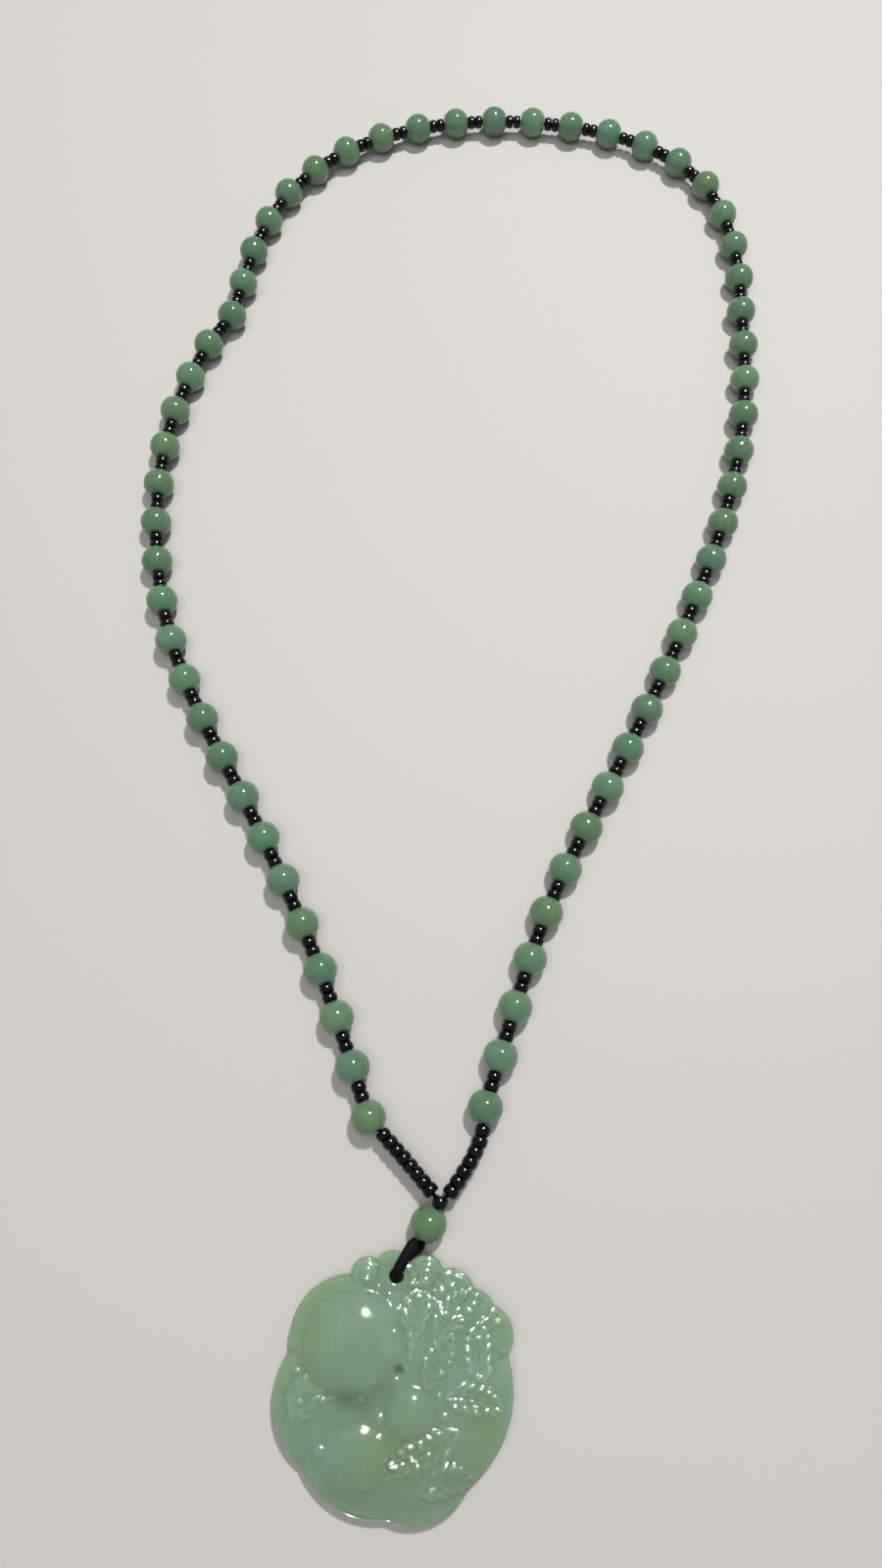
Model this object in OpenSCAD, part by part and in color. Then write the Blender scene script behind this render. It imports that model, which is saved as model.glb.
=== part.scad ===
// Jade pendant on a bead necklace, laid out on a table.
// The origin is the middle of the pendant's flat back, +Y runs from the pendant to the far end of
// the loop, and +Z points up from the table. Lengths are in millimetres.

/* [Jade beads] */
// Diameter of a jade bead across its thread
bead_d = 8; // [7.6:0.1:8.1]
// Length of a jade bead along its thread, between the flats round its hole
bead_length = 7; // [6.6:0.1:7.2]

/* [Seed beads] */
// Diameter of a black glass seed bead
seed_d = 3.6; // [3.2:0.1:3.7]
// Diameter of the stringing thread
thread_d = 0.9; // [0.6:0.1:1]

/* [Pendant] */
// Height of the carved plate at its lowest lobes, by the cord
plate_h = 4.4; // [4:0.1:4.5]
// Height of the tallest fruit above the table
fruit_top = 7.6; // [7:0.1:7.7]
// Bevel round the top edge of each lobe
edge_bevel = 1; // [0.6:0.1:1.4]
// Diameter of the hole for the bail cord
hole_d = 3; // [3:0.1:3.3]

/* [Bail cord] */
// Diameter of the wrapped black cord between the single bead and the pendant
cord_d = 2.4; // [2.2:0.1:2.4]

/* [Hidden] */
$fn = 96;
// Gap left between neighbouring pieces
gap = 0.25;
// How far the thread reaches into the beads that it joins
sunk = 0.6;
jade_green = "#7fa587";
glass_black = "#15161a";
cord_black = "#1c1b1e";

// Height of the thread above the table, where the beads rest on their sides
thread_z = bead_d / 2;
// Number of jade beads round the loop, from the left of the V round to its right
bead_count = 61;
// Plan of the thread round the loop, from the first jade bead to the last
loop_route = [
    [-8, 53], [-21, 86], [-36, 116], [-54, 147], [-64, 168], [-70, 191], [-72, 214],
    [-70, 237], [-63, 259], [-57, 270], [-55, 281], [-53, 292], [-45, 313], [-29, 330],
    [-8, 340], [15, 344], [38, 343], [60, 337], [78, 323], [86, 300], [87, 277],
    [86, 243], [79, 209], [67, 176], [52, 143], [36, 111], [28, 90], [18, 56],
];
// Straight pieces that each route stretch is divided into
route_steps = 12;

function curve_point(a, b, c, d, t) =
    0.5 * (2 * b + (c - a) * t + (2 * a - 5 * b + 4 * c - d) * t * t
    + (3 * b - a - 3 * c + d) * t * t * t);

function before_first(points) = 2 * points[0] - points[1];

function after_last(points) = 2 * points[len(points) - 1] - points[len(points) - 2];

// Smooth line through every point of a route, as many short straight pieces
function smooth_route(points, steps) =
    let (p = concat([before_first(points)], points, [after_last(points)]))
    concat(
        [
            for (i = [1 : len(points) - 1])
                for (k = [0 : steps - 1])
                    curve_point(p[i - 1], p[i], p[i + 1], p[i + 2], k / steps)
        ],
        [points[len(points) - 1]]
    );

// Distance along a line to each of its points
function distances(line) =
    let (last = len(line) - 1)
    [for (i = 0, sum = 0; i <= last; sum = sum + norm(line[min(i + 1, last)] - line[i]), i = i + 1) sum];

loop_line = smooth_route(loop_route, route_steps);
loop_distance = distances(loop_line);
loop_length = loop_distance[len(loop_distance) - 1];
pitch = loop_length / (bead_count - 1);

// A seed bead takes half of what a jade bead leaves of the pitch
seed_length = (pitch - bead_length) / 2 - gap;

// Value of one coordinate of a line at a distance along it
function along_line(line, distance, s, axis) =
    lookup(s, [for (i = [0 : len(line) - 1]) [distance[i], line[i][axis]]]);

bead_places = [
    for (i = [0 : bead_count - 1])
        [
            along_line(loop_line, loop_distance, i * pitch, 0),
            along_line(loop_line, loop_distance, i * pitch, 1),
            thread_z,
        ]
];

// The single bead above the pendant, and the way its hole points towards the V
bail_centre = [6.1, 31.3, thread_z];
bail_way = [0.47, 0.883, 0];
// The seed bead that both legs of the V share
shared_seed = bail_centre + (bead_length / 2 + 2 * gap + seed_length / 2) * bail_way;
// Thread of each leg, from its last jade bead to its last seed bead before the shared one
left_leg = [bead_places[0], [0, 44.9, thread_z], [6.2, 38.3, thread_z]];
right_leg = [
    bead_places[bead_count - 1], [17.3, 50, thread_z], [15.2, 45, thread_z],
    [13, 41.3, thread_z], [10.9, 38.1, thread_z],
];
left_seeds = 8;
right_seeds = 7;
leg_steps = 8;
// Where the thread between two seed beads of a leg starts, inside each of them
seed_inside = seed_length / 2 - 0.3;

// Lobes of the pendant's edge: [x, y, radius, height above the lowest lobe]
lobes = [
    [-9.9, 8.1, 12.7, 0.6],
    [-6.6, 20.7, 3.7, 0.1],
    [-1.2, 21.5, 4.3, 0],
    [5.7, 21.3, 4, 0.2],
    [11.2, 17.2, 5.4, 0.4],
    [15.6, 13.2, 5.6, 0.4],
    [18.3, 9.4, 6.6, 0.4],
    [4.6, -1.4, 20.4, 0.6],
    [4.4, -12.6, 13.2, 0.4],
    [-2.6, -6.6, 18.4, 0.4],
    [-10.5, -3.2, 14.8, 0.3],
];
// Fruits: [x, y, radius, depth of the top below the tallest fruit]
fruits = [
    [-8.8, 7.6, 11.4, 0],
    [3.5, -6.3, 6.8, 0.9],
    [-7.2, -13.8, 7.8, 1.1],
];
// Leaves: [x, y, length, width, direction in degrees]
leaves = [
    [4.5, 14.5, 13, 6, 80],
    [12, 13.5, 14, 7, 50],
    [17.5, 6.5, 13, 6.5, 95],
    [16.8, -2.5, 13, 7.5, -10],
    [9, 4.6, 12, 6, 62],
    [6.7, -12, 16.5, 7.5, -155],
    [11, -17.5, 12, 6.5, 20],
    [-18, -2.5, 12, 7, 60],
];
leaf_h = 0.7;
// Height of the carved ground between the fruits
ground_h = plate_h + 0.5;
// Height inside the plate where fruits and leaves start
sunk_base = 1;

// Hole for the cord, and the groove behind it that takes the cord's return
hole_place = [-0.4, 20.8];
groove_way = 57;
groove_w = 3.4;
groove_h = 2.7;
groove_reach = 12;
// Small deep pocket between the fruits: [x, y, radius, floor height]
pocket = [0.9, 2.7, 1.3, 3.4];

// Centre line of the bail cord: over the rim, down the hole and back under the rim
cord_route = [
    [3.2, 27.9, 5.1], [2.4, 26.5, 5.7], [1.4, 24.8, 5.9], [0.55, 23.2, 5.9], [-0.15, 21.8, 5.6],
    [-0.4, 20.9, 4.5], [-0.35, 20.75, 2.9], [-0.1, 21.5, 1.7], [0.75, 23, 1.35],
    [2.1, 24.7, 1.35], [3.8, 26.2, 1.75], [5.1, 27.3, 2.7],
];
cord_sides = 10;
cord_steps = 3;

// Turns +Z to the line from one point to another and moves the children to a place
module point_along(from, to, place) {
    way = to - from;
    translate(place)
        rotate([0, acos(way[2] / norm(way)), atan2(way[1], way[0])])
            children();
}

// Thread between two beads, from a distance past the middle of one to a distance short of the other
module thread(from, to, start, stop) {
    way = (to - from) / norm(to - from);
    point_along(from, to, from + start * way)
        cylinder(h = norm(to - from) - start - stop, d = thread_d, $fn = 24);
}

// Ball cut flat at both ends of its thread
module jade_bead() {
    color(jade_green)
        intersection() {
            sphere(d = bead_d);
            cylinder(h = bead_length, d = 2 * bead_d, center = true);
        }
}

// Short drum with rounded rims
module seed_bead() {
    color(glass_black)
        intersection() {
            cylinder(h = seed_length, d = seed_d, center = true);
            sphere(d = 1.1 * seed_d);
        }
}

// Jade bead number i, its hole along the mean of the thread's ways before and after it
module placed_bead(i) {
    before = i == 0 ? left_leg[1] : bead_places[i - 1];
    after = i == bead_count - 1 ? right_leg[1] : bead_places[i + 1];
    here = bead_places[i];
    way_in = (here - before) / norm(here - before);
    way_out = (after - here) / norm(after - here);
    point_along([0, 0, 0], way_in + way_out, here)
        jade_bead();
}

// The pair of seed beads and the thread after jade bead number i
module placed_pair(i, thread_end) {
    here = bead_places[i];
    next = bead_places[i + 1];
    way = (next - here) / norm(next - here);
    middle = (here + next) / 2;
    for (side = [-1, 1])
        point_along(here, next, middle + side * (seed_length + gap / 2) / 2 * way)
            seed_bead();
    color(glass_black)
        thread(here, next, bead_length / 2 - sunk, thread_end);
}

// Jade beads from one number to another, with the seed beads between and after them
module bead_string(first, last) {
    union() {
        for (i = [first : last])
            placed_bead(i);
        for (i = [first : min(last, bead_count - 2)])
            placed_pair(i, bead_length / 2 + (i == last ? gap : -sunk));
    }
}

// Point of a leg's smooth line at a distance along it
function leg_point(line, distance, s) =
    [for (axis = [0 : 2]) along_line(line, distance, s, axis)];

// Seed beads of one leg of the V, threaded on its line from the last jade bead
module seed_leg(route, count) {
    line = smooth_route(route, leg_steps);
    distance = distances(line);
    total = distance[len(distance) - 1];
    first = bead_length / 2 + 2 * gap + seed_length / 2;
    spacing = (total - first) / (count - 1);
    places = [for (k = [0 : count - 1]) leg_point(line, distance, first + k * spacing)];
    for (k = [0 : count - 1])
        point_along(places[max(k - 1, 0)], places[min(k + 1, count - 1)], places[k])
            seed_bead();
    color(glass_black)
        thread(line[0], places[0], bead_length / 2 + gap, seed_inside);
    for (k = [1 : count - 1])
        color(glass_black)
            thread(places[k - 1], places[k], seed_inside, seed_inside);
}

module left_seed_leg() {
    union() {
        seed_leg(left_leg, left_seeds);
        color(glass_black)
            thread(left_leg[len(left_leg) - 1], shared_seed, seed_inside, seed_d / 2 + gap);
    }
}

// The right leg carries the shared seed bead and the thread through the single bead
module right_seed_leg() {
    thread_end = bail_centre - (bead_length / 2) * bail_way;
    union() {
        seed_leg(right_leg, right_seeds);
        color(glass_black)
            thread(right_leg[len(right_leg) - 1], shared_seed, seed_inside, seed_inside);
        point_along([0, 0, 0], bail_way, shared_seed)
            seed_bead();
        color(glass_black)
            thread(shared_seed, thread_end, seed_inside, 0);
    }
}

module bail_bead() {
    bore_d = thread_d + 2 * gap;
    point_along([0, 0, 0], bail_way, bail_centre)
        difference() {
            jade_bead();
            cylinder(h = 2 * bead_length, d = bore_d, center = true);
        }
}

// Flat plate of one lobe with a bevelled top edge
module lobe(r, h) {
    cylinder(h = h - edge_bevel, r = r);
    translate([0, 0, h - edge_bevel])
        cylinder(h = edge_bevel, r1 = r, r2 = r - edge_bevel);
}

// Dome of one fruit, a cap of a large ball that stands on the plate
module fruit(r, top) {
    rise = top - ground_h;
    ball_r = (r * r + rise * rise) / (2 * rise);
    intersection() {
        translate([0, 0, top - ball_r])
            rotate([90, 0, 0])
                sphere(r = ball_r, $fn = 150);
        translate([0, 0, sunk_base])
            cylinder(h = top, r = r);
    }
}

// Pointed leaf standing on the plate, the overlap of two round discs
module leaf(length, width) {
    side_r = (length * length + width * width) / (4 * width);
    intersection() {
        translate([0, side_r - width / 2, sunk_base])
            cylinder(h = ground_h + leaf_h - sunk_base, r = side_r, $fn = 180);
        translate([0, width / 2 - side_r, sunk_base])
            cylinder(h = ground_h + leaf_h - sunk_base, r = side_r, $fn = 180);
    }
}

// Carved disc with a flat back, a hole for the cord and a groove behind it
module pendant() {
    color(jade_green)
        difference() {
            union() {
                for (l = lobes)
                    translate([l[0], l[1], 0])
                        lobe(l[2], plate_h + l[3]);
                for (f = fruits)
                    translate([f[0], f[1], 0])
                        fruit(f[2], fruit_top - f[3]);
                for (l = leaves)
                    translate([l[0], l[1], 0])
                        rotate([0, 0, l[4]])
                            leaf(l[2], l[3]);
            }
            translate([hole_place[0], hole_place[1], -1])
                cylinder(h = 2 * fruit_top, d = hole_d);
            translate([hole_place[0], hole_place[1], -1])
                rotate([0, 0, groove_way])
                    translate([0, -groove_w / 2, 0])
                        cube([groove_reach, groove_w, groove_h + 1]);
            translate([pocket[0], pocket[1], pocket[3]])
                cylinder(h = fruit_top, r1 = pocket[2], r2 = pocket[2] + 1.5);
        }
}

// Direction of a line at one of its points
function line_way(line, i) =
    let (way = line[min(i + 1, len(line) - 1)] - line[max(i - 1, 0)])
    way / norm(way);

// Round tube along a line close to an upright plane, as rings joined by faces. level is the level
// direction across that plane
module tube(line, d, sides, level) {
    rings = [
        for (i = [0 : len(line) - 1])
            let (way = line_way(line, i), up = cross(level, way))
                for (k = [0 : sides - 1])
                    line[i] + d / 2 * (cos(360 * k / sides) * level + sin(360 * k / sides) * up)
    ];
    last = len(line) - 1;
    side_faces = [
        for (i = [0 : last - 1])
            for (k = [0 : sides - 1])
                let (a = i * sides + k, b = i * sides + (k + 1) % sides)
                    [a, b, b + sides, a + sides]
    ];
    start_face = [for (k = [sides - 1 : -1 : 0]) k];
    end_face = [for (k = [0 : sides - 1]) last * sides + k];
    polyhedron(points = rings, faces = concat([start_face], side_faces, [end_face]));
}

module bail_cord() {
    color(cord_black)
        tube(smooth_route(cord_route, cord_steps), cord_d, cord_sides, [0.85, -0.527, 0]);
}

pendant();
bail_cord();
bail_bead();
left_seed_leg();
right_seed_leg();
bead_string(0, 6);  // bead_string_1
bead_string(7, 12);  // bead_string_2
bead_string(13, 18);  // bead_string_3
bead_string(19, 24);  // bead_string_4
bead_string(25, 30);  // bead_string_5
bead_string(31, 36);  // bead_string_6
bead_string(37, 42);  // bead_string_7
bead_string(43, 48);  // bead_string_8
bead_string(49, 54);  // bead_string_9
bead_string(55, 60);  // bead_string_10
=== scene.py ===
"""Jade pendant on a long string of jade beads and black seed beads, laid out flat.

Lengths are in metres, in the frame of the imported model: the origin is the middle of the pendant's
flat back, +Y runs to the far end of the loop, and +Z points up from what it lies on."""

import math
import random

import bmesh
import bpy
from mathutils import Matrix, Vector, noise


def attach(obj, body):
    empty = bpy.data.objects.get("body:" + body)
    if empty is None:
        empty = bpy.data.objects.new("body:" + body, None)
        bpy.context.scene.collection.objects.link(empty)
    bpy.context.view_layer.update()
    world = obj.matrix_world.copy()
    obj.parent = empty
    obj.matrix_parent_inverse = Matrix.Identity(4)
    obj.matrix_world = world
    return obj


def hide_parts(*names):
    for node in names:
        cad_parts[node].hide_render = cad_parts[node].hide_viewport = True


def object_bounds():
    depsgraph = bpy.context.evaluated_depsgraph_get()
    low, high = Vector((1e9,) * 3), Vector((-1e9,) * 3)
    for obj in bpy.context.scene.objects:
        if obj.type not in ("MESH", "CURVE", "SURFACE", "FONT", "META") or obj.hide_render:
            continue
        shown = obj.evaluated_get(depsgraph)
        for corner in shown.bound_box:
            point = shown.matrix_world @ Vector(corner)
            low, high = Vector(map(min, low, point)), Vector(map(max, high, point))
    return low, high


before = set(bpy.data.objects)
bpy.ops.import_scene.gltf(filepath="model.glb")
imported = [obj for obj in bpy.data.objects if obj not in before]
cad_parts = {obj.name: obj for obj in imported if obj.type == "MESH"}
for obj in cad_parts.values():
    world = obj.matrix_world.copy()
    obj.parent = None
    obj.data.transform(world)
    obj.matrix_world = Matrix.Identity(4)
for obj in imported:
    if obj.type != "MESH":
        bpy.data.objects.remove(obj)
CAD_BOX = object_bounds()

bl_info = {
    "name": "Jade pendant necklace",
    "version": (1, 0, 0),
    "blender": (4, 5, 0),
    "location": "View3D > Sidebar > Jade pendant",
    "description": "Models a carved jade disc on a string of jade beads and black seed beads",
    "category": "Object",
}

MM = 0.001
FULL_TURN = 2 * math.pi
BODY = "root"

# Camera: place, sensor width and focal length in millimetres, tilt and roll in degrees
CAMERA_PLACE = (5.86, 43.89, 267.8)
CAMERA_SENSOR = 36
CAMERA_LENS = 26.118
CAMERA_TILT = 18.423
CAMERA_ROLL = 1.782
# Lamps: place and width in metres, power in watts
KEY_LAMP = ((0.25, 0.74, 1.27), 0.13, 15)
GLINT_LAMP = ((0.25, 0.74, 1.27), 0.055, 48)
FILL_LAMP = ((-0.3, -0.2, 1.6), 1.4, 12)
ROOM_COLOUR = (0.9, 0.95, 1, 1)
ROOM_STRENGTH = 0.27
FLOOR_HALF_WIDTH = 3
# The floor lies this far under the piece, in millimetres, so that the flat back doesn't meet it
FLOOR_DROP = 0.05

# Plan of the thread round the loop, from the first jade bead to the last, in millimetres
LOOP_ROUTE = [
    (-8, 53), (-21, 86), (-36, 116), (-54, 147), (-64, 168), (-70, 191), (-72, 214),
    (-70, 237), (-63, 259), (-57, 270), (-55, 281), (-53, 292), (-45, 313), (-29, 330),
    (-8, 340), (15, 344), (38, 343), (60, 337), (78, 323), (86, 300), (87, 277),
    (86, 243), (79, 209), (67, 176), (52, 143), (36, 111), (28, 90), (18, 56),
]
# Straight pieces between two points of the route
ROUTE_STEPS = 12
BEAD_COUNT = 61
BEAD_SIDES = 48
SEED_SIDES = 12
THREAD_SIDES = 10
CORD_SIDES = 24
# First and last jade bead of each string, as the model's nodes have them
STRINGS = [
    (0, 6), (7, 12), (13, 18), (19, 24), (25, 30), (31, 36), (37, 42), (43, 48), (49, 54), (55, 60),
]
# Single bead above the pendant: its middle in millimetres, and the way of its hole
BAIL_CENTRE = (6.1, 31.3)
BAIL_WAY = (0.47, 0.883)
# Plan of each leg of the V after its last jade bead, in millimetres
LEFT_LEG = [(0, 44.9), (6.2, 38.3)]
RIGHT_LEG = [(17.3, 50), (15.2, 45), (13, 41.3), (10.9, 38.1)]
LEFT_SEEDS = 8
RIGHT_SEEDS = 7
LEG_STEPS = 8

# Lobes of the pendant's edge in millimetres: x, y, radius, height above the lowest lobe
LOBES = [
    (-9.9, 8.1, 12.7, 0.6),
    (-6.6, 20.7, 3.7, 0.1),
    (-1.2, 21.5, 4.3, 0),
    (5.7, 21.3, 4, 0.2),
    (11.2, 17.2, 5.4, 0.4),
    (15.6, 13.2, 5.6, 0.4),
    (18.3, 9.4, 6.6, 0.4),
    (4.6, -1.4, 20.4, 0.6),
    (4.4, -12.6, 13.2, 0.4),
    (-2.6, -6.6, 18.4, 0.4),
    (-10.5, -3.2, 14.8, 0.3),
]
FLUTED_LOBES = LOBES[4:7]
# Fruits in millimetres: x, y, radius, depth of the top below the tallest fruit
FRUITS = [
    (-8.8, 7.2, 11.2, 0),
    (3.5, -5.3, 6.1, 0.9),
    (-7.2, -13.8, 7.8, 1.1),
]
# Leaves in millimetres: x, y, length, width, direction in degrees
LEAVES = [
    (4.5, 14.5, 13, 6, 80),
    (12, 13.5, 14, 7, 50),
    (17.5, 6.5, 13, 6.5, 95),
    (16.8, -2.5, 13, 7.5, -10),
    (9, 4.6, 12, 6, 62),
    (6.7, -12, 16.5, 7.5, -155),
    (11, -17.5, 12, 6.5, 20),
    (-18, -2.5, 12, 7, 60),
]
# Small round curls on the lobes by the hole, in millimetres: x, y, radius, rise in the middle
CURLS = [(-6.8, 21.2, 2.7, 0.45), (5.9, 21, 2.9, 0.3)]
# Soft hollows between the fruits, in millimetres: the points of each, its width and its depth
HOLLOWS = [
    ([(-10.4, -3.6), (-8, -3.7), (-6, -4.6)], 3, 0.22),
    ([(-10.5, -2.8), (-5.5, -3.4), (-1.5, -1.5)], 4.5, 0.2),
]
# Small round buds in millimetres: x, y, radius
BUDS = [
    (0.1, 14.5, 0.9), (4.5, 16.8, 0.7), (0.2, 10.1, 0.8), (2.2, 22.2, 0.8), (3.1, 19.4, 1.1),
    (11.4, 19.2, 0.9), (9.2, 18.1, 0.8), (13.4, 20.6, 0.8), (18.5, 12.6, 0.9), (21.2, 5.4, 0.9),
    (10.5, -5.7, 1), (9.5, 2.4, 1), (-2.8, -6.2, 1.1), (-2.3, -9.9, 0.8), (0.1, -14.8, 1.1),
    (-15, -12.6, 1.4), (-5.5, -18.6, 0.8), (8.1, -19.6, 1.3), (-6.6, 19.9, 1), (2.9, 9.2, 0.9),
    (16.9, -4.6, 1.3), (19.4, -4.3, 0.8), (11.4, -12.4, 1.2), (5, -14.4, 1), (6, -11.5, 0.9),
    (7.4, -12.6, 0.7), (-19.9, -3.7, 0.8), (-20.4, 2, 0.8), (-21.4, -7.1, 0.8),
    (21.2, 12.3, 0.8), (17.5, 1.7, 0.8), (-4.3, 0.5, 0.7), (9.3, -1.9, 0.7), (17.4, 9.1, 0.7),
    (-13.6, -2.8, 0.8), (-16.5, -4, 0.7), (2, -12.3, 1.1), (4.2, -13.5, 0.9), (5.8, -11.4, 0.9),
    (5.9, -9.9, 0.8), (-1.2, -13.7, 0.7), (3, 19.4, 1), (10.2, 13.5, 0.9), (-6.8, 20, 0.8),
]
# Knotty stems in millimetres: the points of each, its width and its height
STEMS = [
    ([(1.6, 16.5), (1.4, 12.5), (3.4, 8.6), (3.2, 5.2)], 1.5, 0.35),
    ([(-6.9, -3), (-4.4, 0.6), (-2.3, 3.1), (0.4, 5.4)], 1.5, 0.35),
    ([(-21.6, -2.9), (-17.5, -4.3), (-13.4, -3), (-11, -2.2)], 1.5, 0.35),
    ([(1.4, -16.4), (-2.4, -17.6), (-6.5, -20.4)], 1.3, 0.25),
]
# Distance between the knots of a stem, in millimetres
KNOT_STEP = 2.4
# Drilled pocket in millimetres: x, y, radius, depth
POCKET = (0.9, 2.7, 1.2, 1.1)
# Cord's hole, and the groove on the back from it to the rim: lengths in millimetres
HOLE_PLACE = (-0.4, 20.8)
GROOVE_WAY = math.radians(57)
GROOVE_WIDTH = 3.4
GROOVE_HEIGHT = 2.7

# Middle line of the cord in millimetres: over the rim, down the hole and back under the rim
CORD_ROUTE = [
    (3.5, 28.3, 4.9), (2.5, 26.7, 5.65), (1.4, 24.8, 5.9), (0.55, 23.2, 5.9), (-0.15, 21.8, 5.6),
    (-0.4, 20.9, 4.5), (-0.35, 20.75, 2.9), (-0.1, 21.5, 1.7), (0.75, 23, 1.35),
    (2.1, 24.7, 1.35), (3.8, 26.2, 1.75), (5.2, 27.7, 3),
]
# The way across the cord, level and square to the upright plane that it lies in
CORD_LEVEL = Vector((0.85, -0.527, 0))


def linear(hex_colour):
    """Linear RGB of an sRGB colour such as #7fa587."""
    parts = [int(hex_colour[i : i + 2], 16) / 255 for i in (1, 3, 5)]
    return tuple(c / 12.92 if c <= 0.04045 else ((c + 0.055) / 1.055) ** 2.4 for c in parts)


class JADE_PG_sizes(bpy.types.PropertyGroup):
    """Sizes of the beads, the carved disc and the cord"""

    bead_diameter: bpy.props.FloatProperty(
        name="Jade bead", description="Diameter of a jade bead", default=8 * MM, unit="LENGTH"
    )
    bead_length: bpy.props.FloatProperty(
        name="Bead length",
        description="Length of a jade bead along its thread",
        default=7 * MM,
        unit="LENGTH",
    )
    seed_diameter: bpy.props.FloatProperty(
        name="Seed bead",
        description="Diameter of a black seed bead",
        default=3.6 * MM,
        unit="LENGTH",
    )
    thread_diameter: bpy.props.FloatProperty(
        name="Thread", description="Diameter of the thread", default=0.9 * MM, unit="LENGTH"
    )
    plate_height: bpy.props.FloatProperty(
        name="Plate height",
        description="Height of the carved plate at its lowest lobe",
        default=4.4 * MM,
        unit="LENGTH",
    )
    fruit_top: bpy.props.FloatProperty(
        name="Fruit top",
        description="Height of the tallest fruit above the table",
        default=7.6 * MM,
        unit="LENGTH",
    )
    hole_diameter: bpy.props.FloatProperty(
        name="Hole", description="Diameter of the cord's hole", default=3 * MM, unit="LENGTH"
    )
    cord_diameter: bpy.props.FloatProperty(
        name="Cord", description="Diameter of the wrapped cord", default=2.4 * MM, unit="LENGTH"
    )


class JADE_PG_colours(bpy.types.PropertyGroup):
    """Colours of the stone, the glass, the cord and the floor"""

    pendant_green: bpy.props.FloatVectorProperty(
        name="Pendant",
        description="Main green of the carved jade",
        subtype="COLOR",
        size=3,
        default=linear("#779377"),
    )
    pendant_cool: bpy.props.FloatVectorProperty(
        name="Pendant clouds",
        description="Cool pale clouds in the carved jade",
        subtype="COLOR",
        size=3,
        default=linear("#829c8d"),
    )
    pendant_warm: bpy.props.FloatVectorProperty(
        name="Pendant stains",
        description="Warm green stains in the carved jade",
        subtype="COLOR",
        size=3,
        default=linear("#7a9472"),
    )
    bead_green: bpy.props.FloatVectorProperty(
        name="Beads",
        description="Main green of the jade beads",
        subtype="COLOR",
        size=3,
        default=linear("#56795c"),
    )
    bead_cool: bpy.props.FloatVectorProperty(
        name="Bead clouds",
        description="Cool pale clouds in the jade beads",
        subtype="COLOR",
        size=3,
        default=linear("#608072"),
    )
    bead_warm: bpy.props.FloatVectorProperty(
        name="Bead stains",
        description="Warm green stains in the jade beads",
        subtype="COLOR",
        size=3,
        default=linear("#607f59"),
    )
    seed_black: bpy.props.FloatVectorProperty(
        name="Seed beads",
        description="Black of the seed beads' glass",
        subtype="COLOR",
        size=3,
        default=linear("#08080a"),
    )
    cord_black: bpy.props.FloatVectorProperty(
        name="Cord",
        description="Black of the cord and thread",
        subtype="COLOR",
        size=3,
        default=linear("#080709"),
    )
    floor_pale: bpy.props.FloatVectorProperty(
        name="Floor",
        description="Pale colour of the floor",
        subtype="COLOR",
        size=3,
        default=linear("#b6b3ad"),
    )


# Materials


def new_material(name):
    """A new material and its empty node tree."""
    material = bpy.data.materials.new(name)
    material.use_nodes = True
    tree = material.node_tree
    tree.nodes.clear()
    return material, tree


def add_node(tree, kind, values=None, links=None, **settings):
    """Adds a shader node, with its settings, its unlinked inputs' values and its linked inputs."""
    node = tree.nodes.new("ShaderNode" + kind)
    for name, value in settings.items():
        setattr(node, name, value)
    for socket, value in (values or {}).items():
        node.inputs[socket].default_value = value
    for socket, source in (links or {}).items():
        tree.links.new(source, node.inputs[socket])
    return node


# Sockets of a Mix node that mixes colours
MIX_FACTOR, MIX_A, MIX_B, MIX_RESULT = 0, 6, 7, 2


def with_alpha(colour):
    """A colour with full opacity, as a shader's socket takes it."""
    return (*colour, 1)


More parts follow.
